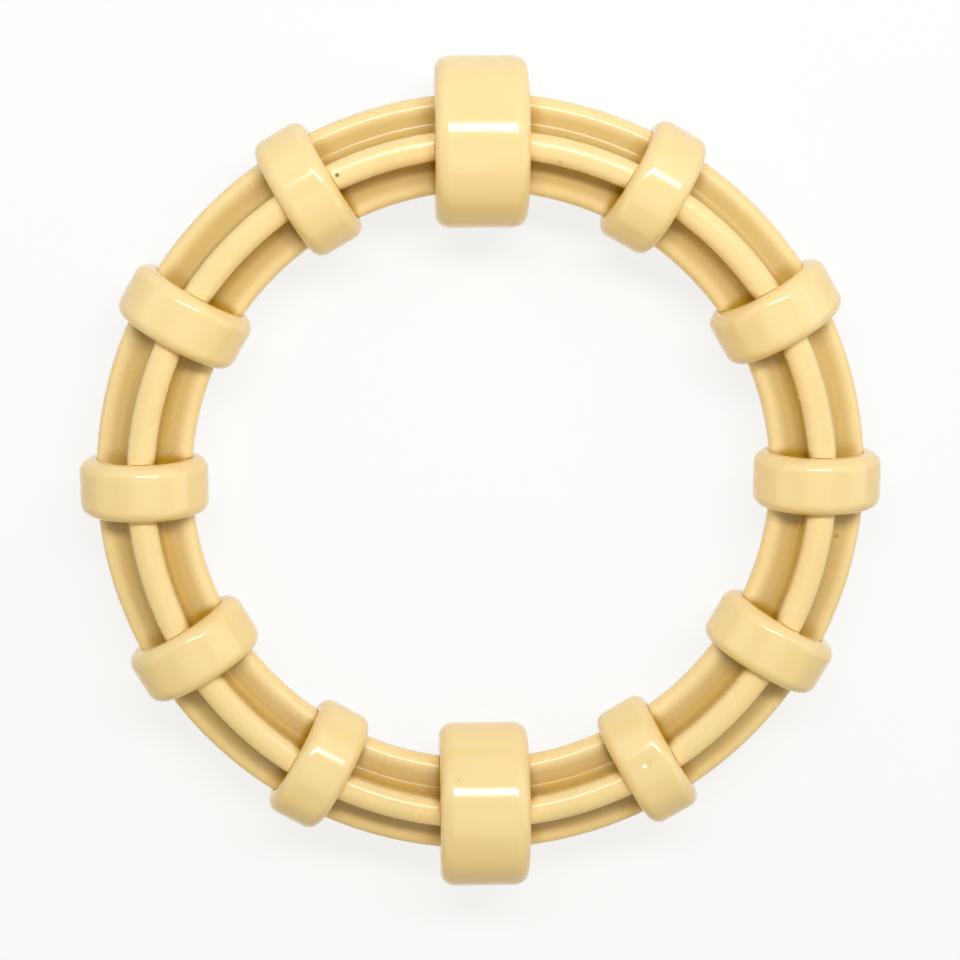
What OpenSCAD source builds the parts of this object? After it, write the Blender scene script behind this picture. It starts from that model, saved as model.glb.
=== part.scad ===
// Ring chew toy: two half rings of cross-shaped bar carry ten narrow collars, and two wide barrel
// couplings join the halves by snap spigots.
// The ring lies flat: +Z is up, +Y points to the back coupling, and the origin is the ring's middle.
// Places round the ring are given as hours on a clock face, with the back coupling at 12.

/* [Ring] */
// Radius of the ring, from its middle to the middle of the bar
ring_r = 56; // [53:0.5:75]

/* [Bar] */
// Reach of a fin from the middle of the bar to its tip
fin_reach = 7.9; // [7:0.05:9.4]
// Thickness of a fin
fin_thickness = 4.55; // [4.2:0.05:5.6]
// Rounding of a fin's tip corners
fin_tip_r = 2; // [0.4:0.05:2.05]
// Fillet in the groove between two fins
groove_fillet_r = 1.45; // [0.5:0.05:2]

/* [Collars] */
// Height of a narrow collar above the fins' tips
collar_rise = 2.65; // [2.4:0.05:5]
// Width of a narrow collar along the bar
collar_width = 9.3; // [6:0.1:12]
// Rounding of a narrow collar's rims
collar_edge_r = 2.1; // [0.4:0.05:2.2]

/* [Couplings] */
// Height of a coupling barrel above the fins' tips
coupling_rise = 5.95; // [3:0.05:9]
// Width of a coupling barrel along the bar
coupling_width = 15; // [12.5:0.1:18]
// Rounding of a coupling barrel's rims
coupling_edge_r = 1.95; // [0.4:0.05:2.5]
// Thickness of the web between a coupling's two sockets
web_thickness = 1.6; // [1:0.1:2.6]
// Depth to which the bar itself enters a coupling's mouth
mouth_depth = 1.6; // [1:0.1:2.2]

/* [Snap joint] */
// Radius of the round spigot on each end of a half ring
spigot_r = 5.2; // [4.5:0.05:5.6]
// Length of the spigot's root inside the end of the bar
spigot_root = 0.6; // [0.3:0.05:1]
// Bevel on the spigot's free end
spigot_bevel = 0.5; // [0.2:0.05:0.7]
// Height of the snap bead above the spigot
bead_height = 0.6; // [0.3:0.05:0.8]
// Width of the snap bead's crest
bead_crest = 0.7; // [0.5:0.05:0.9]

/* [Fits] */
// Depth of the turned-down seats below the fins' tips
seat_depth = 0.35; // [0.25:0.05:0.7]
// Bevel at both ends of a collar's bore and of a coupling's mouths
bore_bevel = 0.3; // [0.1:0.05:0.5]
// Gap round the bar inside a collar or a coupling's mouth
bore_gap = 0.05; // [0.02:0.01:0.15]
// Gap at each side of a collar in its seat, and at a spigot's free end
side_gap = 0.05; // [0.02:0.01:0.2]
// Gap round a spigot and its bead in the socket
socket_gap = 0.08; // [0.02:0.01:0.2]

/* [Hidden] */
$fn = 96;
// How far a cut runs past the surface that it opens
overrun = 1;
// Hours round the ring, the angle of one hour, and the hours that half a ring takes
hours = 12;
hour_angle = 360 / hours;
half_hours = hours / 2;
// Hours of the two couplings, and those of the narrow collars between them
back_hour = 0;
front_hour = half_hours;
collar_hours = [for (hour = [1 : hours - 1]) if (hour != front_hour) hour];
// Outer radii of a narrow collar and of a coupling
collar_r = fin_reach + collar_rise;
coupling_r = fin_reach + coupling_rise;
// Radius to which the fins' tips are turned down in a seat, and that of the bores round it
seat_r = fin_reach - seat_depth;
bore_r = seat_r + bore_gap;
// Places along the bar from the middle of a coupling: the bar's end face and the spigot's free end
bar_end = coupling_width / 2 - mouth_depth;
spigot_end = web_thickness / 2 + side_gap;

function collar_name(hour) = str("collar_", hour, "_oclock");

function angle_at(hour) = 90 - hour * hour_angle;

// Puts a shape drawn round the Z axis onto the bar at an hour: its +Z then runs clockwise along
// the bar and its +X points away from the ring's middle
module at_hour(hour) {
    rotate([0, 0, angle_at(hour)])
        translate([ring_r, 0, 0])
            rotate([90, 0, 0])
                children();
}

// One flat bar with rounded corners: two opposite fins of the cross
module fin_pair() {
    corner_x = fin_reach - fin_tip_r;
    corner_y = fin_thickness / 2 - fin_tip_r;
    square([2 * corner_x, fin_thickness], center = true);
    square([2 * fin_reach, 2 * corner_y], center = true);
    for (x = [-corner_x, corner_x], y = [-corner_y, corner_y])
        translate([x, y])
            circle(r = fin_tip_r);
}

// The fillets in the four grooves, as a square with a round bite out of each corner
module groove_fillets() {
    bite = fin_thickness / 2 + groove_fillet_r;
    difference() {
        square(2 * bite, center = true);
        for (x = [-bite, bite], y = [-bite, bite])
            translate([x, y])
                circle(r = groove_fillet_r);
    }
}

// Cross section of the bar: four fins, with a groove between each two
module bar_section() {
    fin_pair();
    rotate(90)
        fin_pair();
    groove_fillets();
}

// Half a turn of the bar, clockwise from an hour
module bar_arc(first_hour) {
    rotate([0, 0, angle_at(first_hour + half_hours)])
        rotate_extrude(angle = half_hours * hour_angle)
            translate([ring_r, 0])
                bar_section();
}

// Outline of the spigot with its snap bead, from one place to another along the bar; the socket
// takes the same outline, grown by its gap
module spigot_shape(from, to, bevel, grow) {
    middle = (spigot_end + bar_end) / 2;
    crest = bead_crest / 2 + grow;
    foot = crest + bead_height;
    r = spigot_r + grow;
    rotate_extrude()
        polygon([
            [0, from],
            [r - bevel, from],
            [r, from + bevel],
            [r, middle - foot],
            [r + bead_height, middle - crest],
            [r + bead_height, middle + crest],
            [r, middle + foot],
            [r, to],
            [0, to]
        ]);
}

// Ring-shaped cut that turns the fins' tips down to the seat's radius over a width
module seat_cut(width) {
    difference() {
        cylinder(r = fin_reach + overrun, h = width, center = true);
        cylinder(r = seat_r, h = width + 2 * overrun, center = true);
    }
}

// Half of the ring, clockwise from one coupling to the other: the bar with five collar seats, and
// at each end a turned-down tip and a spigot
module half_ring(first_hour) {
    color([0.96, 0.85, 0.62])
        difference() {
            union() {
                difference() {
                    bar_arc(first_hour);
                    for (hour = [first_hour, first_hour + half_hours])
                        at_hour(hour)
                            cylinder(r = fin_reach + overrun, h = 2 * bar_end, center = true);
                }
                for (side = [0, 1])
                    at_hour(first_hour + side * half_hours)
                        mirror([0, 0, side])
                            spigot_shape(spigot_end, bar_end + spigot_root, spigot_bevel, 0);
            }
            for (step = [1 : half_hours - 1])
                at_hour(first_hour + step)
                    seat_cut(collar_width + 2 * side_gap);
            for (step = [0, half_hours])
                at_hour(first_hour + step)
                    seat_cut(coupling_width + 2 * side_gap);
        }
}

// Solid round body with rounded rims, before it is bored
module rounded_body(r, width, edge_r) {
    rim = width / 2 - edge_r;
    rotate_extrude()
        intersection() {
            translate([0, -width / 2])
                square([r, width]);
            union() {
                square([2 * r, 2 * rim], center = true);
                square([2 * (r - edge_r), width], center = true);
                for (y = [-rim, rim])
                    translate([r - edge_r, y])
                        circle(r = edge_r);
            }
        }
}

// Bevelled entry of a bore whose mouth lies at a height, opening upwards
module bore_entry(height) {
    translate([0, 0, height - bore_bevel])
        cylinder(r1 = bore_r, r2 = bore_r + bore_bevel + overrun, h = bore_bevel + overrun);
}

// Narrow collar, with a bore for the turned-down seat
module collar_at(hour) {
    color([0.97, 0.86, 0.63])
        at_hour(hour)
            difference() {
                rounded_body(collar_r, collar_width, collar_edge_r);
                cylinder(r = bore_r, h = collar_width + 2 * overrun, center = true);
                for (side = [0, 1])
                    mirror([0, 0, side])
                        bore_entry(collar_width / 2);
            }
}

// Wide barrel whose two sockets hold the spigots of both half rings, parted by a web
module coupling_at(hour) {
    mouth = coupling_width / 2;
    color([0.97, 0.86, 0.63])
        at_hour(hour)
            difference() {
                rounded_body(coupling_r, coupling_width, coupling_edge_r);
                for (side = [0, 1])
                    mirror([0, 0, side]) {
                        spigot_shape(web_thickness / 2, mouth, 0, socket_gap);
                        translate([0, 0, bar_end - side_gap])
                            cylinder(r = bore_r, h = mouth_depth + side_gap + overrun);
                        bore_entry(mouth);
                    }
            }
}

module left_half_ring() {
    half_ring(front_hour);
}

module right_half_ring() {
    half_ring(back_hour);
}

module back_coupling() {
    coupling_at(back_hour);
}

module front_coupling() {
    coupling_at(front_hour);
}

left_half_ring();
right_half_ring();
back_coupling();
front_coupling();
for (hour = collar_hours)
    collar_at(hour);
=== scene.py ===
import math

import bpy
import numpy as np
from mathutils import Matrix, Vector


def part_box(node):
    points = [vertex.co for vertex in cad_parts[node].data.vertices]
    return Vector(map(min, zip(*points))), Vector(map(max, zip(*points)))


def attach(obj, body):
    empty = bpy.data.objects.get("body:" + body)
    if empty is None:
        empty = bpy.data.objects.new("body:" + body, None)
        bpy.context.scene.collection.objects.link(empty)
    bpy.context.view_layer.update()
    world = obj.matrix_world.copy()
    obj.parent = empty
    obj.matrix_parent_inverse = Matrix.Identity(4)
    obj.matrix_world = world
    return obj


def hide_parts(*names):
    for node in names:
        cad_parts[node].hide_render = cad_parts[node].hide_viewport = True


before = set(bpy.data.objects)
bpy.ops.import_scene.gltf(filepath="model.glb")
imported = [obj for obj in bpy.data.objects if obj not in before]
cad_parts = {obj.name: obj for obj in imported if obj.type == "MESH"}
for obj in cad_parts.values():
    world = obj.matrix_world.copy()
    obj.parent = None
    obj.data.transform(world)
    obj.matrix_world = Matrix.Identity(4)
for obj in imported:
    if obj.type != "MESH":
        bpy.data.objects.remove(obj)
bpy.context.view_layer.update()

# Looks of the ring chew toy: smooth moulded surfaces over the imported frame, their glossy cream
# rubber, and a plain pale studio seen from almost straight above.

# Sizes and places are in millimetres, and turn into metres where a mesh, a lamp or the camera is
# made
MM = 0.001

# Hours of a clock face give the places round the ring: 12 is at +Y and 3 at +X
HOURS = 12
HOUR_ANGLE = 2 * math.pi / HOURS
HALF_HOURS = HOURS // 2
COLLAR_HOURS = [hour for hour in range(1, HOURS) if hour != HALF_HOURS]


def box_mm(node):
    """Lowest and highest corner of a node of the frame, in millimetres."""
    return np.array(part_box(node)) / MM


# Main sizes, read from the frame
coupling_low, coupling_high = box_mm("back_coupling")
collar_low, collar_high = box_mm("collar_3_oclock")
RING_R = (coupling_low[1] + coupling_high[1]) / 2
COUPLING_R = coupling_high[2]
COUPLING_WIDTH = coupling_high[0] - coupling_low[0]
COLLAR_R = collar_high[2]
COLLAR_WIDTH = collar_high[1] - collar_low[1]
FIN_REACH = box_mm("right_half_ring")[1][2]

# Bar: thickness of its fins, rounding of a fin's corners and of its crown, fillet in a groove
FIN_THICKNESS = 4.55
FIN_CORNER_R = 1.8
FIN_CROWN_R = 3.2
GROOVE_FILLET_R = 1.45

# Rims of the collars and couplings: width along the bar, and height
COLLAR_RIM = (2.1, 2.1)
COUPLING_RIM = (2.6, 2.1)

# Seats on the bar and the bores round them, with the small rounds of their shoulders and mouths
SEAT_DEPTH = 0.35
SEAT_R = FIN_REACH - SEAT_DEPTH
BORE_GAP = 0.05
BORE_R = SEAT_R + BORE_GAP
SIDE_GAP = 0.05
SHOULDER_R = 0.12
MOUTH_R = 0.1

# Snap joint inside the couplings
WEB_THICKNESS = 1.6
MOUTH_DEPTH = 1.6
SPIGOT_R = 5.2
SPIGOT_ROOT = 0.6
SPIGOT_BEVEL = 0.5
BEAD_HEIGHT = 0.6
BEAD_CREST = 0.7
SOCKET_GAP = 0.08
BAR_END = COUPLING_WIDTH / 2 - MOUTH_DEPTH
SPIGOT_END = WEB_THICKNESS / 2 + SIDE_GAP

# Points round the bar's section: in half a fillet, a flank, a fin's corner and half its crown
FILLET_POINTS = 7
FLANK_POINTS = 6
CORNER_POINTS = 10
FIN_CROWN_POINTS = 5
# Points along the bar on one side of an hour: in the seat, on its shoulder's round and beyond it
SEAT_POINTS = 4
SHOULDER_POINTS = 7
FREE_POINTS = 20
# Share of the way to halfway between two hours at which the bar's sections start to turn
TURN_START = 0.6
# Points of a bored body's profile: on its mouth's round, its flat face, its rim, half its crown
# and its bore; and points in one full turn of it
MOUTH_POINTS = 6
FACE_POINTS = 4
RIM_POINTS = 18
CROWN_POINTS = 7
BORE_POINTS = 6
TURN_POINTS = 288
# Angle between two faces above which the edge between them is sharp
SHARP_EDGE = math.radians(40)


def arc(middle, radius, start, end, count):
    """Points of an arc from one angle to another, in degrees, both ends included. The radius is
    one number, or for an ellipse two: across and up."""
    angle = np.radians(np.linspace(start, end, count))
    return np.array(middle) + np.array(radius) * np.stack([np.cos(angle), np.sin(angle)], 1)


def line(start, end, count):
    """Evenly spaced points strictly between two points."""
    share = np.linspace(0, 1, count + 2)[1:-1, None]
    return (1 - share) * np.array(start) + share * np.array(end)


def bar_section():
    """Closed outline of the bar's cross section, counter-clockwise.

    One fin points along +X: from the middle of the groove below it, half a fillet, a straight
    flank, a round corner and half of the domed crown, whose larger circle touches the corner's
    from outside; the mirror image of these closes the fin, and four copies a quarter turn apart
    make the cross."""
    half = FIN_THICKNESS / 2
    bite = half + GROOVE_FILLET_R
    crown_middle = FIN_REACH - FIN_CROWN_R
    between_middles = FIN_CROWN_R - FIN_CORNER_R
    corner_y = half - FIN_CORNER_R
    corner_x = crown_middle + math.sqrt(between_middles ** 2 - corner_y ** 2)
    touching = math.degrees(math.asin(corner_y / between_middles))
    fillet = arc((bite, -bite), GROOVE_FILLET_R, 135, 90, FILLET_POINTS)
    flank = line((bite, -half), (corner_x, -half), FLANK_POINTS)
    tip = arc((corner_x, -corner_y), FIN_CORNER_R, -90, -touching, CORNER_POINTS)
    crown = arc((crown_middle, 0), FIN_CROWN_R, -touching, 0, FIN_CROWN_POINTS)[1:]
    lower = np.vstack([fillet, flank, tip, crown])
    fin = np.vstack([lower, lower[-2:0:-1] * [1, -1]])
    quarter_turn = np.array([[0, 1], [-1, 0]])
    return np.vstack([fin @ np.linalg.matrix_power(quarter_turn, turns) for turns in range(4)])


def face_corners(grid):
    """The four corners, in turn, of the face that starts at each place of a grid."""
    beside = np.roll(grid, -1, axis=1)
    return grid, beside, np.roll(beside, -1, axis=0), np.roll(grid, -1, axis=0)


def grid_mesh(name, grids):
    """One mesh object made of closed shells.

    Each grid holds rows of points in millimetres, and its columns wrap round. If its rows wrap
    too, it is a torus, and if not, a fan round the mean of each end row closes it."""
    points, quads, fans = [], [], [np.zeros((0, 3), int)]
    first = 0
    for grid, rows_wrap in grids:
        grid = facing_out(grid, rows_wrap)
        rows, columns = grid.shape[:2]
        index = first + np.arange(rows * columns).reshape(rows, columns)
        corners = face_corners(index)
        faces = np.stack(corners, -1)
        points.append(grid.reshape(-1, 3))
        first += rows * columns
        if not rows_wrap:
            here, beside = corners[:2]
            low = np.stack([np.full(columns, first), beside[0], here[0]], -1)
            high = np.stack([np.full(columns, first + 1), here[-1], beside[-1]], -1)
            points.append(np.stack([grid[0].mean(axis=0), grid[-1].mean(axis=0)]))
            faces = faces[:-1]
            fans += [low, high]
            first += 2
        quads.append(faces.reshape(-1, 4))
    return mesh_object(name, np.vstack(points) * MM, np.vstack(quads), np.vstack(fans))


def facing_out(grid, rows_wrap):
    """The grid, with its columns reversed if its faces would point inwards.

    The sum of each face's diagonals' cross product times its middle is six times the volume,
    which is negative for a shell that is inside out."""
    here, beside, above_beside, above = face_corners(grid)
    normal = np.cross(above_beside - here, above - beside)
    middle = (here + beside + above + above_beside) / 4 - grid.mean(axis=(0, 1))
    volume = np.einsum("ijk,ijk->ij", normal, middle)
    if not rows_wrap:
        volume = volume[:-1]
    return grid if volume.sum() > 0 else grid[:, ::-1]


def mesh_object(name, points, quads, fans):
    """Puts whole arrays of points, quads and triangles into a mesh object at the origin, smooth
    but for its sharp corners."""
    loops = np.concatenate([quads.ravel(), fans.ravel()]).astype(np.int32)
    sizes = np.concatenate([np.full(len(quads), 4), np.full(len(fans), 3)])
    starts = np.concatenate([[0], np.cumsum(sizes)[:-1]]).astype(np.int32)
    mesh = bpy.data.meshes.new(name)
    mesh.vertices.add(len(points))
    mesh.vertices.foreach_set("co", points.astype(np.float32).ravel())
    mesh.loops.add(len(loops))
    mesh.loops.foreach_set("vertex_index", loops)
    mesh.polygons.add(len(sizes))
    mesh.polygons.foreach_set("loop_start", starts)
    mesh.polygons.foreach_set("use_smooth", np.ones(len(sizes), bool))
    mesh.update(calc_edges=True)
    mesh.validate()
    mesh.set_sharp_from_angle(angle=SHARP_EDGE)
    piece = bpy.data.objects.new(name, mesh)
    bpy.context.collection.objects.link(piece)
    return piece


def hour_axes(hour):
    """Unit vectors at an hour, or at each of an array of hours: away from the ring's middle,
    clockwise along the bar, and up."""
    angle = np.asarray(hour) * HOUR_ANGLE
    outward = np.stack([np.sin(angle), np.cos(angle), 0 * angle], -1)
    along = np.stack([np.cos(angle), -np.sin(angle), 0 * angle], -1)
    return outward, along, np.array([0, 0, 1])


def revolved(profile, hour):
    """A profile of (place along the bar, radius) turned round the bar's tangent at an hour.

    point = middle of the bar + place * along + radius * (cos(turn) * outward + sin(turn) * up)"""
    outward, along, up = hour_axes(hour)
    turn = np.linspace(0, 2 * math.pi, TURN_POINTS, endpoint=False)[None, :, None]
    spoke = np.cos(turn) * outward + np.sin(turn) * up
    return RING_R * outward + profile[:, None, :1] * along + profile[:, None, 1:] * spoke


def bored_profile(outer_r, width, rim):
    """Half outline of a bored round body, as (place along the bar, radius): the round of its
    bore's mouth, its flat face, its rim, which is a quarter of an ellipse, and its straight
    crown up to the crown's middle."""
    end = width / 2
    rim_width, rim_height = rim
    mouth = arc((end - MOUTH_R, BORE_R + MOUTH_R), MOUTH_R, -90, 0, MOUTH_POINTS)
    face = line((end, BORE_R + MOUTH_R), (end, outer_r - rim_height), FACE_POINTS)
    rounding = arc((end - rim_width, outer_r - rim_height), rim, 0, 90, RIM_POINTS)
    crown = line((end - rim_width, outer_r), (0, outer_r), CROWN_POINTS)
    return np.vstack([mouth, face, rounding, crown, [[0, outer_r]]])


def both_sides(half):
    """A half outline that ends in the middle plane, with its mirror image added after it."""
    return np.vstack([half, half[-2::-1] * [-1, 1]])


def collar(hour):
    """Narrow collar: a closed surface of revolution whose profile is a straight bore, small
    round mouths, flat faces, round rims and a straight crown."""
    outline = both_sides(bored_profile(COLLAR_R, COLLAR_WIDTH, COLLAR_RIM))
    bore_end = COLLAR_WIDTH / 2 - MOUTH_R
    bore = line((-bore_end, BORE_R), (bore_end, BORE_R), BORE_POINTS)
    surface = revolved(np.vstack([outline, bore]), hour)
    return grid_mesh(f"moulded_collar_{hour}_oclock", [(surface, True)])


def snap_outline(start, end, grow):
    """Outline of the spigot's side or, grown by the gap, of its socket's, as (place along the
    bar, radius): straight, with the bead, whose flanks slope at 45 degrees to a flat crest."""
    middle = (SPIGOT_END + BAR_END) / 2
    crest = BEAD_CREST / 2 + grow
    foot = crest + BEAD_HEIGHT
    r = SPIGOT_R + grow
    corners = [
        (start, r),
        (middle - foot, r),
        (middle - crest, r + BEAD_HEIGHT),
        (middle + crest, r + BEAD_HEIGHT),
        (middle + foot, r),
        (end, r),
    ]
    return np.array(corners)


def coupling(hour, name):
    """Coupling barrel: the outside of a round-rimmed barrel and two blind sockets, as one closed
    surface of revolution whose profile runs from one socket's floor over the barrel to the
    other's."""
    seat_floor = BAR_END - SIDE_GAP
    socket = snap_outline(WEB_THICKNESS / 2, seat_floor, SOCKET_GAP)
    outside = bored_profile(COUPLING_R, COUPLING_WIDTH, COUPLING_RIM)
    profile = both_sides(np.vstack([socket, [[seat_floor, BORE_R]], outside]))
    return grid_mesh(name, [(revolved(profile, hour), False)])


def seat_places(half_width):
    """Places along the bar on one side of an hour, up to halfway to the next hour: evenly spaced
    in the seat and beyond it, and close together where the seat's shoulder is rounded."""
    inside = np.linspace(0, half_width - SIDE_GAP / 2, SEAT_POINTS)
    rounding = np.linspace(0, math.pi / 2, SHOULDER_POINTS)
    shoulder = half_width + SHOULDER_R * (1 - np.cos(rounding))
    halfway = RING_R * math.sin(HOUR_ANGLE / 2)
    free = np.linspace(shoulder[-1], halfway, FREE_POINTS)[1:]
    return np.concatenate([inside, shoulder, free])


def bar_stations(first_hour):
    """Hour, place along the bar from that hour, and the hour's seat half width, of every cross
    section of half the ring, clockwise."""
    stations = []
    for step in range(HALF_HOURS + 1):
        is_end = step in (0, HALF_HOURS)
        half_width = (COUPLING_WIDTH if is_end else COLLAR_WIDTH) / 2 + SIDE_GAP
        places = seat_places(half_width)
        if is_end:
            places = np.concatenate([[BAR_END], places[places > BAR_END]])
        before, after = -places[::-1], places[:-1]
        if step == 0:
            place = after
        elif step == HALF_HOURS:
            place = before
        else:
            place = np.concatenate([before[:-1], after])
        hour = np.full_like(place, first_hour + step)
        stations.append(np.stack([hour, place, np.full_like(place, half_width)], 1))
    return np.vstack(stations)


def bar(first_hour):
    """The bar from one coupling to the other.

    A cross section is carried along the ring's circle. Near an hour each section lies in a plane
    square to the hour's tangent, so that shoulders and end faces are flat, and between two hours
    it turns smoothly to lie in a plane through the ring's axis. In a seat, points further from
    the hour's tangent than the seat's radius are drawn in to that radius, and the shoulder's edge
    is rounded off by a quarter circle."""
    hour, place, half_width = np.hsplit(bar_stations(first_hour), 3)
    out, up = bar_section().T
    radius = RING_R + out
    square_angle = np.arcsin(place / radius)
    turned_angle = np.arcsin(place / RING_R)
    way = (np.abs(turned_angle) / (HOUR_ANGLE / 2) - TURN_START) / (1 - TURN_START)
    way = np.clip(way, 0, 1)
    share = way * way * (3 - 2 * way)
    angle = (1 - share) * square_angle + share * turned_angle
    tangent = radius * np.sin(angle)
    outward = radius * np.cos(angle) - RING_R
    reach = np.hypot(outward, up)
    past = np.abs(tangent) - half_width
    edge = np.clip(1 - past / SHOULDER_R, 0, 1)
    rounded = reach - SHOULDER_R * (1 - np.sqrt(1 - edge * edge))
    seated = np.minimum(reach, SEAT_R)
    drawn_in = np.where(past < 0, seated, np.maximum(seated, rounded))
    shrink = drawn_in / reach
    outward_axis, along_axis, up_axis = hour_axes(hour)
    return (
        (RING_R + outward * shrink)[..., None] * outward_axis
        + tangent[..., None] * along_axis
        + (up * shrink)[..., None] * up_axis
    )


def half_ring(first_hour, name):
    """Half of the ring: the bar and, overlapping its two end faces, the snap spigots, each with
    a bevel at its free end."""
    side = snap_outline(SPIGOT_END + SPIGOT_BEVEL, BAR_END + SPIGOT_ROOT, 0)
    spigot = np.vstack([[SPIGOT_END, SPIGOT_R - SPIGOT_BEVEL], side])
    ends = [
        (revolved(spigot, first_hour), False),
        (revolved(spigot * [-1, 1], first_hour + HALF_HOURS), False),
    ]
    return grid_mesh(name, [(bar(first_hour), False), *ends])


def rgba(red, green, blue):
    """An opaque colour."""
    return (red, green, blue, 1.0)


WHITE = rgba(1.0, 1.0, 1.0)

# Camera, fitted to the ring's outline in the photograph: tilt from the vertical, bearing of the
# tilt clockwise from +Y, and roll, in degrees, then millimetres and pixels
CAMERA_TILT = 10.79
CAMERA_TURN = -9.91
CAMERA_ROLL = -0.24
CAMERA_DISTANCE = 382.6
MM_PER_PIXEL = 0.1666
PHOTO_SIZE = 960
RING_MIDDLE_PIXEL = (482.2, 481.4)
SENSOR_WIDTH = 36

# Floor: its side and colour, the share of plain white that the camera sees in it under the ring,
# and the distances from the ring's middle between which that share grows to all of it
FLOOR_SIZE = 4000
FLOOR_COLOUR = rgba(0.92, 0.92, 0.92)
FLOOR_GLOW = 0.8
FLOOR_FADE = (150, 600)

# Colours of the lamps' light
PLAIN = (1.0, 1.0, 1.0)
COOL = (0.92, 0.97, 1.0)
WARM = (1.0, 0.78, 0.15)
FAINT_WARM = (1.0, 0.95, 0.8)
# The key lamp, a strip high behind the ring, and the top panel: place, width and depth, and level
KEY_PLACE = (22, 203, 384)
KEY_SIZE = (320, 68)
KEY_LEVEL = 0.72
TOP_PLACE = (0, -130, 430)
TOP_SIZE = (360, 270)
TOP_LEVEL = 0.1
# Panels round the ring, all of one size and at one distance from its middle: bearing clockwise
# from +Y, angle above the floor, level and colour of the light
PANEL_SIZE = (730, 550)
PANEL_DISTANCE = 900
PANELS = {
    "back_right_panel": (48, 42, 0.19, COOL),
    "back_left_panel": (315, 32, 0.15, COOL),
    "right_panel": (90, 18, 0.18, COOL),
    "left_panel": (270, 17, 0.13, FAINT_WARM),
    "front_right_panel": (135, 33, 0.11, WARM),
    "front_left_panel": (225, 20, 0.12, WARM),
    "front_panel": (180, 20, 0.09, WARM),
}

# Rubber's colours; the groove colour and the brown are painted shade, laid in the grooves, their
# roots and beside the collars
CREAM = rgba(0.915, 0.685, 0.31)
CREAM_LIGHT = rgba(0.935, 0.71, 0.335)
GROOVE_SHADE_CREAM = rgba(0.64, 0.44, 0.14)
PAINTED_SHADE_BROWN = rgba(0.5, 0.275, 0.015)
SPECK_BROWN = rgba(0.20, 0.11, 0.03)
# Noises: lumps per millimetre, detail and roughness. Mottling and scuffs come in between two
# values of theirs; the other two are the surface's long waves and its fine orange peel
MOTTLING = (0.07, 3.0, 0.55)
MOTTLING_RISE = (0.3, 0.7)
SCUFFS = (0.3, 4.0, 0.6)
SCUFFS_RISE = (0.4, 0.8)
WAVES = (0.12, 1.0, 0.5)
PEEL = (0.8, 2.0, 0.5)
# Distances from the bar's middle line between which these come in: the grooves' painted shade, the
# deeper painted shade in their roots, the painted shade beside a collar, and the bar's satin
# finish
GROOVE = (7.3, 5.1)
ROOT = (4.9, 3.9)
CORNER = (7.9, 5.5)
SATIN = (8.1, 7.95)
# Places across the bar from its middle between which it turns from the outer side to the inner
INNER_SIDE = (2.0, -3.0)
# Distance from a collar at which the painted shade beside it starts, and how much further from the
# bar's middle line it reaches on the inner side
BESIDE_COLLAR = 2.1
INNER_CORNER = 0.7
# Strength of the painted shade in the roots and beside a collar, and what the inner side adds to
# each
ROOT_SHADE = 0.05
INNER_ROOT_SHADE = 0.3
CORNER_SHADE = 0.4
INNER_CORNER_SHADE = 0.6
# Roughness of the gloss, what scuffs and the satin finish add to it, and roughness of the matt
# finish where shade is painted
GLOSS_ROUGHNESS = 0.13
SCUFFS_ROUGHNESS = 0.05
SATIN_ROUGHNESS = 0.12
PAINTED_SHADE_ROUGHNESS = 0.8
# Heights and depths in the surface, and half the width of the parting line
WAVES_HEIGHT = 0.05
PEEL_HEIGHT = 0.003
PARTING_HEIGHT = 0.03
PARTING_HALF_WIDTH = 0.22
DENT_DEPTH = 0.22
SPECK_DEPTH = 0.02
# Specks: place, radius and strength, and the nearness to a speck's middle at which it starts and
# is full; then the dent's place and radius
SPECKS = [
    ((-23.1, 51.2, 7.9), 0.55, 0.9),
    ((12.4, 53.0, 7.4), 0.7, 0.2),
    ((-4.5, -48.1, 11.3), 0.4, 0.2),
    ((59.2, -9.5, 2.3), 0.55, 0.6),
]
SPECK_RISE = (0.1, 0.6)
DENT = ((26.6, -46.0, 10.3), 1.3)


class Value:
    """A shader socket that takes part in Python sums: each operator adds a Math node."""

    def __init__(self, shader, socket):
        self.shader = shader
        self.socket = socket

    def math(self, operation, *others):
        """Adds a Math node for an operation on this value and any others."""
        inputs = dict(enumerate((self, *others)))
        return self.shader.node("ShaderNodeMath", {"operation": operation}, inputs)

    def __add__(self, other):
        return self.math("ADD", other)

    __radd__ = __add__

    def __sub__(self, other):
        return self.math("SUBTRACT", other)

    def __rsub__(self, other):
        return self.math("MULTIPLY_ADD", -1, other)

    def __mul__(self, other):
        return self.math("MULTIPLY", other)

    __rmul__ = __mul__

    def __abs__(self):
        return self.math("ABSOLUTE")

    def at_most(self, other):
        return self.math("MINIMUM", other)

    def at_least(self, other):
        return self.math("MAXIMUM", other)

    def hypotenuse(self, other):
        return (self * self + other * other).math("SQRT")

    def goes(self, start, end):
        """0 up to the start value, 1 from the end value on, and smooth between them. The start
        may be the larger of the two."""
        settings = {"interpolation_type": "SMOOTHSTEP"}
        inputs = {"Value": self, "From Min": start, "From Max": end}
        return self.shader.node("ShaderNodeMapRange", settings, inputs)


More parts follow.
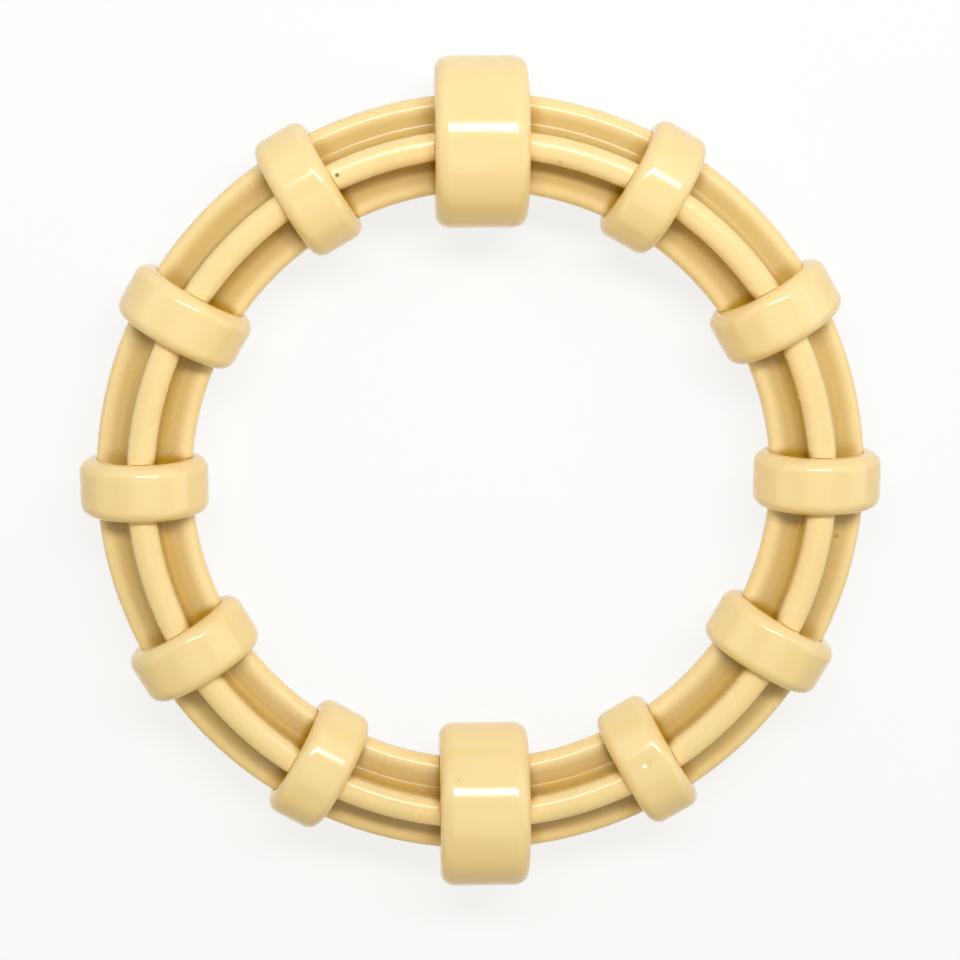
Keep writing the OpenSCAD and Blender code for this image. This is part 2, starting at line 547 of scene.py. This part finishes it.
class Shader:
    """The node tree of a material or of the world, with one method that adds any node."""

    def __init__(self, owner):
        owner.use_nodes = True
        self.tree = owner.node_tree
        self.tree.nodes.clear()

    def node(self, kind, settings=None, inputs=None, output=0):
        """Adds a node, makes its settings, then sets or links its inputs, and gives an output."""
        node = self.tree.nodes.new(kind)
        for name, setting in (settings or {}).items():
            setattr(node, name, setting)
        for name, value in (inputs or {}).items():
            if isinstance(value, Value):
                self.tree.links.new(value.socket, node.inputs[name])
            else:
                node.inputs[name].default_value = value
        return Value(self, node.outputs[output]) if node.outputs else None

    def mix(self, share, first, second):
        """A colour on the way from the first colour to the second one. A Mix node's colour sockets
        are its inputs 6 and 7 and its output 2."""
        inputs = {0: share, 6: first, 7: second}
        return self.node("ShaderNodeMix", {"data_type": "RGBA"}, inputs, 2)

    def noise(self, place, per_mm, detail, roughness):
        """Smooth noise about 0.5, with so many lumps per millimetre."""
        inputs = {"Vector": place, "Scale": per_mm, "Detail": detail, "Roughness": roughness}
        return self.node("ShaderNodeTexNoise", inputs=inputs)

    def near(self, place, spot, radius):
        """1 at a spot, falling smoothly to 0 at a radius from it."""
        inputs = {0: place, 1: spot}
        distance = self.node("ShaderNodeVectorMath", {"operation": "DISTANCE"}, inputs, "Value")
        return distance.goes(radius, 0)


def place_in_mm(shader):
    """The place on the piece in millimetres, as a vector and as its three numbers."""
    place = shader.node("ShaderNodeTexCoord", output="Object")
    inputs = {0: place, "Scale": 1 / MM}
    place_mm = shader.node("ShaderNodeVectorMath", {"operation": "SCALE"}, inputs)
    inputs = {0: place_mm}
    numbers = [shader.node("ShaderNodeSeparateXYZ", None, inputs, i) for i in range(3)]
    return place_mm, *numbers


def beside_collar(x, y):
    """1 where the bar enters a collar or a coupling, falling to 0 at a little distance from it.

    The distance along the bar from the nearest hour, less half the width of what sits there."""
    hour = y.math("ARCTAN2", x) * (1 / HOUR_ANGLE)
    from_hour = RING_R * (abs(hour - hour.math("ROUND")) * HOUR_ANGLE).math("SINE")
    at_coupling = abs(x).math("LESS_THAN", RING_R * math.sin(HOUR_ANGLE / 2))
    half_width = COLLAR_WIDTH / 2 + (COUPLING_WIDTH - COLLAR_WIDTH) / 2 * at_coupling
    return (from_hour - half_width).goes(BESIDE_COLLAR, 0)


def cream_rubber():
    """Glossy cream rubber: faint mottling, painted shade in the grooves, deeper painted shade,
    matt, in their roots and where the bar enters the collars, light scuffs, gentle waves, fine
    orange peel, a mould's parting line, a few specks and one dent."""
    material = bpy.data.materials.new("glossy_cream_rubber")
    shader = Shader(material)
    place, x, y, z = place_in_mm(shader)

    mottling = shader.noise(place, *MOTTLING).goes(*MOTTLING_RISE)
    ring_reach = x.hypotenuse(y) - RING_R
    reach = ring_reach.hypotenuse(z)
    # Painted shade: the grooves darken towards their roots, where shade falls
    groove = reach.goes(*GROOVE)
    inner = ring_reach.goes(*INNER_SIDE)
    # Painted shade in the grooves' roots, where shade falls deepest, stronger on the ring's inner
    # side
    root = reach.goes(*ROOT) * (ROOT_SHADE + INNER_ROOT_SHADE * inner)
    # Painted shade in the corner where the bar enters a collar or a coupling
    corner = beside_collar(x, y) * (reach - INNER_CORNER * inner).goes(*CORNER)
    corner = corner * (CORNER_SHADE + INNER_CORNER_SHADE * inner)
    painted_shade = root.at_least(corner)
    specks = [
        strength * shader.near(place, spot, radius).goes(*SPECK_RISE)
        for spot, radius, strength in SPECKS
    ]
    speck = sum(specks[1:], specks[0])
    colour = shader.mix(mottling, CREAM, CREAM_LIGHT)
    colour = shader.mix(groove, colour, GROOVE_SHADE_CREAM)
    # The brown here is painted shade, not a stain of the rubber
    colour = shader.mix(painted_shade, colour, PAINTED_SHADE_BROWN)
    colour = shader.mix(speck, colour, SPECK_BROWN)

    scuffs = shader.noise(place, *SCUFFS).goes(*SCUFFS_RISE)
    satin = reach.goes(*SATIN)
    roughness = GLOSS_ROUGHNESS + SCUFFS_ROUGHNESS * scuffs + SATIN_ROUGHNESS * satin

    waves = shader.noise(place, *WAVES)
    peel = shader.noise(place, *PEEL)
    parting_line = abs(z).goes(PARTING_HALF_WIDTH, 0)
    dent = shader.near(place, *DENT)
    height = WAVES_HEIGHT * waves + PEEL_HEIGHT * peel + PARTING_HEIGHT * parting_line
    height = height - DENT_DEPTH * dent - SPECK_DEPTH * speck
    bump = {"Distance": MM, "Height": height, "Strength": 1.0}
    normal = shader.node("ShaderNodeBump", inputs=bump)

    finish = {"Base Color": colour, "Roughness": roughness, "Normal": normal}
    glossy = shader.node("ShaderNodeBsdfPrincipled", inputs=finish)
    dull_finish = {**finish, "Roughness": PAINTED_SHADE_ROUGHNESS, "Specular IOR Level": 0.0}
    dull = shader.node("ShaderNodeBsdfPrincipled", inputs=dull_finish)
    # Where shade is painted the finish also turns matt, without reflection
    surface = shader.node("ShaderNodeMixShader", inputs={0: painted_shade, 1: glossy, 2: dull})
    shader.node("ShaderNodeOutputMaterial", inputs={"Surface": surface})
    return material


def background_rays(shader):
    """1 for rays that the camera sends, also by way of a reflection or through glass, else 0."""
    kinds = ["Is Camera Ray", "Is Glossy Ray", "Is Transmission Ray"]
    rays = [shader.node("ShaderNodeLightPath", output=kind) for kind in kinds]
    return sum(rays[1:], rays[0]).at_most(1)


def pale_floor():
    """Plain floor under the ring, white to the camera but for the soft shadow that it keeps, and
    plain white further away, so that its edge doesn't show."""
    half = FLOOR_SIZE / 2
    corners = np.array([[-half, -half], [half, -half], [half, half], [-half, half]])
    points = np.hstack([corners, np.full((4, 1), -COUPLING_R)]) * MM
    mesh = bpy.data.meshes.new("pale_floor")
    mesh.from_pydata(points.tolist(), [], [[0, 1, 2, 3]])
    floor = bpy.data.objects.new("pale_floor", mesh)
    bpy.context.collection.objects.link(floor)
    material = bpy.data.materials.new("pale_floor")
    shader = Shader(material)
    matt = shader.node("ShaderNodeBsdfDiffuse", inputs={"Color": FLOOR_COLOUR})
    glow = shader.node("ShaderNodeEmission", inputs={"Color": WHITE, "Strength": 1.0})
    _, x, y, _ = place_in_mm(shader)
    far = x.hypotenuse(y).goes(*FLOOR_FADE)
    share = (FLOOR_GLOW + (1 - FLOOR_GLOW) * far) * background_rays(shader)
    surface = shader.node("ShaderNodeMixShader", inputs={0: share, 1: matt, 2: glow})
    shader.node("ShaderNodeOutputMaterial", inputs={"Surface": surface})
    mesh.materials.append(material)


def studio_air():
    """The studio's surroundings: white to the camera and in reflections, and no other light."""
    world = bpy.data.worlds.new("studio_air")
    shader = Shader(world)
    backdrop = shader.node("ShaderNodeBackground", inputs={"Color": WHITE, "Strength": 1.0})
    surface = shader.node("ShaderNodeMixShader", inputs={0: background_rays(shader), 2: backdrop})
    shader.node("ShaderNodeOutputWorld", inputs={"Surface": surface})
    bpy.context.scene.world = world


def lamp(name, place, size, level, colour=PLAIN):
    """Soft rectangular lamp that faces the ring's middle. Its level is the brightness that it
    alone gives a white matt sheet there that faces it: its power over (pi * distance) squared."""
    place = Vector(place)
    data = bpy.data.lights.new(name, "AREA")
    data.shape = "RECTANGLE"
    data.size, data.size_y = [side * MM for side in size]
    data.color = colour
    data.energy = level * math.pi ** 2 * place.length_squared * MM ** 2
    piece = bpy.data.objects.new(name, data)
    piece.location = place * MM
    piece.rotation_euler = (-place).to_track_quat("-Z", "Y").to_euler()
    bpy.context.collection.objects.link(piece)


def direction(bearing, height_angle):
    """Unit vector at a bearing, clockwise from +Y, and an angle above the floor, in degrees."""
    bearing = math.radians(bearing)
    height_angle = math.radians(height_angle)
    flat = math.cos(height_angle)
    return Vector((flat * math.sin(bearing), flat * math.cos(bearing), math.sin(height_angle)))


def camera():
    """The camera at the photograph's place: almost straight above, a little towards +Y."""
    away = direction(CAMERA_TURN, 90 - CAMERA_TILT)
    up = (Vector((0, 1, 0)) - away.y * away).normalized()
    right = up.cross(away)
    roll = math.radians(CAMERA_ROLL)
    rolled_right = math.cos(roll) * right + math.sin(roll) * up
    rolled_up = math.cos(roll) * up - math.sin(roll) * right
    data = bpy.data.cameras.new("photo_camera")
    data.sensor_width = SENSOR_WIDTH
    data.lens = SENSOR_WIDTH * CAMERA_DISTANCE / (MM_PER_PIXEL * PHOTO_SIZE)
    data.shift_x = (PHOTO_SIZE / 2 - RING_MIDDLE_PIXEL[0]) / PHOTO_SIZE
    data.shift_y = (RING_MIDDLE_PIXEL[1] - PHOTO_SIZE / 2) / PHOTO_SIZE
    piece = bpy.data.objects.new("photo_camera", data)
    turned = Matrix((rolled_right, rolled_up, away)).transposed().to_4x4()
    piece.matrix_world = Matrix.Translation(away * CAMERA_DISTANCE * MM) @ turned
    bpy.context.collection.objects.link(piece)
    bpy.context.scene.camera = piece


camera()
pale_floor()
studio_air()
lamp("key_strip", KEY_PLACE, KEY_SIZE, KEY_LEVEL)
lamp("top_panel", TOP_PLACE, TOP_SIZE, TOP_LEVEL)
for name, (bearing, height_angle, level, colour) in PANELS.items():
    place = PANEL_DISTANCE * direction(bearing, height_angle)
    lamp(name, place, PANEL_SIZE, level, colour)

rubber = cream_rubber()
pieces = {
    "right_half_ring": half_ring(0, "moulded_right_half_ring"),
    "left_half_ring": half_ring(HALF_HOURS, "moulded_left_half_ring"),
    "back_coupling": coupling(0, "moulded_back_coupling"),
    "front_coupling": coupling(HALF_HOURS, "moulded_front_coupling"),
}
pieces |= {f"collar_{hour}_oclock": collar(hour) for hour in COLLAR_HOURS}
for node, piece in pieces.items():
    piece.data.materials.append(rubber)
    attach(piece, "root")
    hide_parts(node)

bpy.context.scene.view_settings.view_transform = "Standard"
